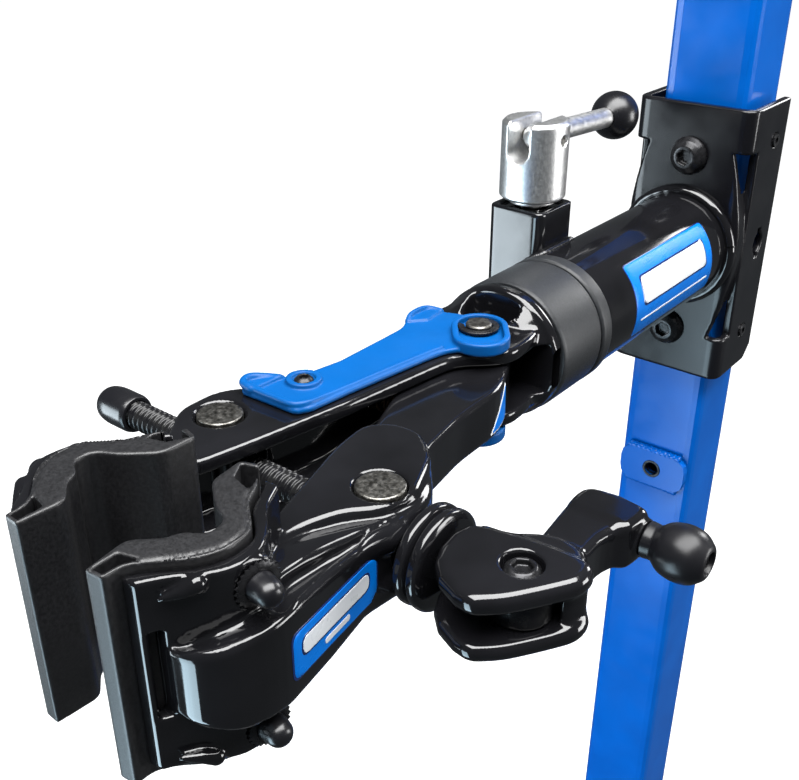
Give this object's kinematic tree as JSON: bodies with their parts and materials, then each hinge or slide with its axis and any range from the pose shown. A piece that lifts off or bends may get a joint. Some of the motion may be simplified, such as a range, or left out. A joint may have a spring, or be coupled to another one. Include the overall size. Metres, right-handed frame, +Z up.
{
  "type": "bike repair stand",
  "caption": "Shop repair stand: floor plate, square mast and a side arm with a screw-adjusted lever-locked bicycle clamp that turns to any angle.",
  "frame": {"origin": "on the floor under the mast's centre", "axes": "+Z up along the mast, -X along the arm towards the clamp"},
  "size_m": [0.6615, 0.6, 1.4843],
  "materials": {
    "blue_paint": "gloss powder coat",
    "black_paint": "high gloss",
    "base_paint": "textured satin",
    "black_steel": "black oxide",
    "satin_steel": "satin turned",
    "pin_steel": "ground",
    "blue_plastic": "moulded",
    "pad_plastic": "fine grain",
    "collar_plastic": "satin",
    "black_knob": "satin"
  },
  "bodies": {
    "stand": {"base_plate": "base_paint", "foot_flange": "blue_paint", "base_bolt_1": "black_steel", "base_bolt_2": "black_steel", "base_bolt_3": "black_steel", "base_bolt_4": "black_steel", "mast_tube": "blue_paint", "mast_cap": "black_knob", "mount_bracket": "black_paint", "bracket_screw_1": "black_steel", "bracket_screw_2": "black_steel", "near_set_screw_1": "black_steel", "near_set_screw_2": "black_steel", "far_set_screw_1": "black_steel", "far_set_screw_2": "black_steel", "arm_tube": "black_paint", "front_bushing": "collar_plastic", "rear_bushing": "collar_plastic", "lock_housing": "black_paint"},
    "upper_wedge": {"lock_wedge_upper": "satin_steel"},
    "lower_wedge": {"lock_wedge_lower": "satin_steel", "lock_nut": "black_steel"},
    "lock_cap": {"lock_cap": "satin_steel", "lock_bolt": "satin_steel", "lock_lever_pin": "pin_steel", "lock_sleeve": "pin_steel"},
    "lock_lever": {"lock_lever": "satin_steel", "lock_lever_ball": "black_knob"},
    "clamp_head": {"clamp_body": "black_paint", "clamp_shaft": "satin_steel", "shaft_collar": "black_steel", "head_collar": "collar_plastic", "cover_top": "blue_plastic", "cover_bottom": "blue_plastic", "cover_screw_top": "black_steel", "cover_screw_bottom": "black_steel", "pivot_pin": "pin_steel", "pivot_clip_top": "black_steel", "pivot_clip_bottom": "black_steel", "far_pad": "pad_plastic", "far_pad_nut_upper": "black_steel", "far_pad_nut_lower": "black_steel"},
    "far_trunnion": {"far_trunnion": "pin_steel"},
    "thrust_discs": {"thrust_disc_inner": "black_steel", "thrust_disc_outer": "black_steel"},
    "adjusting_screw": {"adjust_rod": "black_steel", "rod_end_cap": "black_knob"},
    "cam_handle": {"cam_handle": "black_paint", "cam_bolt": "black_steel", "knob_screw": "black_steel"},
    "handle_knob": {"handle_knob": "black_knob"},
    "near_arm": {"near_arm": "black_paint", "near_pad": "pad_plastic", "near_pad_nut_upper": "black_steel", "near_pad_nut_lower": "black_steel"},
    "near_trunnion": {"near_trunnion": "pin_steel"}
  },
  "joints": [
    {"name": "head_turn", "type": "hinge", "parent": "stand", "child": "clamp_head", "pos_m": [-0.18, 0, 1.15], "axis": [1, 0, 0], "continuous": true},
    {"name": "upper_wedge_slide", "type": "slide", "parent": "stand", "child": "upper_wedge", "axis": [0, 0, 1], "range_m": [-0.00016, 0.0007]},
    {"name": "lower_wedge_slide", "type": "slide", "parent": "stand", "child": "lower_wedge", "axis": [0, 0, 1], "range_m": [-0.0007, 0.00016]},
    {"name": "lock_cap_turn", "type": "hinge", "parent": "stand", "child": "lock_cap", "pos_m": [-0.157, 0.03, 1.22], "axis": [0, 0, 1], "range_deg": [-30, 150]},
    {"name": "lock_lever_swing", "type": "hinge", "parent": "lock_cap", "child": "lock_lever", "pos_m": [-0.157, 0.03, 1.234], "axis": [0, -1, 0], "range_deg": [0, 186]},
    {"name": "adjusting_screw_turn", "type": "hinge", "parent": "thrust_discs", "child": "adjusting_screw", "pos_m": [-0.375, 0, 1.15], "axis": [0, -1, 0], "range_deg": [-1800, 2880]},
    {"name": "far_trunnion_swivel", "type": "hinge", "parent": "clamp_head", "child": "far_trunnion", "pos_m": [-0.375, 0.031, 1.15], "axis": [0, 0, 1], "range_deg": [-4.2, 6.5]},
    {"name": "thrust_disc_travel", "type": "slide", "parent": "far_trunnion", "child": "thrust_discs", "axis": [0, -1, 0], "range_m": [-0.0152, 0.0243]},
    {"name": "near_arm_swing", "type": "hinge", "parent": "clamp_head", "child": "near_arm", "pos_m": [-0.253, -0.005, 1.15], "axis": [0, 0, 1], "range_deg": [-7.2, 11.5]},
    {"name": "near_trunnion_swivel", "type": "hinge", "parent": "near_arm", "child": "near_trunnion", "pos_m": [-0.375, -0.0495, 1.15], "axis": [0, 0, 1], "range_deg": [-5.3, 3.4]},
    {"name": "cam_handle_flip", "type": "hinge", "parent": "adjusting_screw", "child": "cam_handle", "pos_m": [-0.375, -0.1075, 1.15], "axis": [0, 0, 1], "range_deg": [-95, 0]},
    {"name": "handle_knob_spin", "type": "hinge", "parent": "cam_handle", "child": "handle_knob", "pos_m": [-0.321, -0.138, 1.15], "axis": [0, 1, 0], "continuous": true}
  ],
  "couplings": [
    {"joint": "upper_wedge_slide", "follows": "lock_cap_turn", "m_per_rad": 0.00024},
    {"joint": "lower_wedge_slide", "follows": "lock_cap_turn", "m_per_rad": -0.00024},
    {"joint": "thrust_disc_travel", "follows": "adjusting_screw_turn", "m_per_rad": 0.00047746},
    {"joint": "near_arm_swing", "follows": "adjusting_screw_turn", "ratio": 0.003946},
    {"joint": "far_trunnion_swivel", "follows": "adjusting_screw_turn", "ratio": 0.0021703},
    {"joint": "near_trunnion_swivel", "follows": "adjusting_screw_turn", "ratio": -0.0017757}
  ]
}
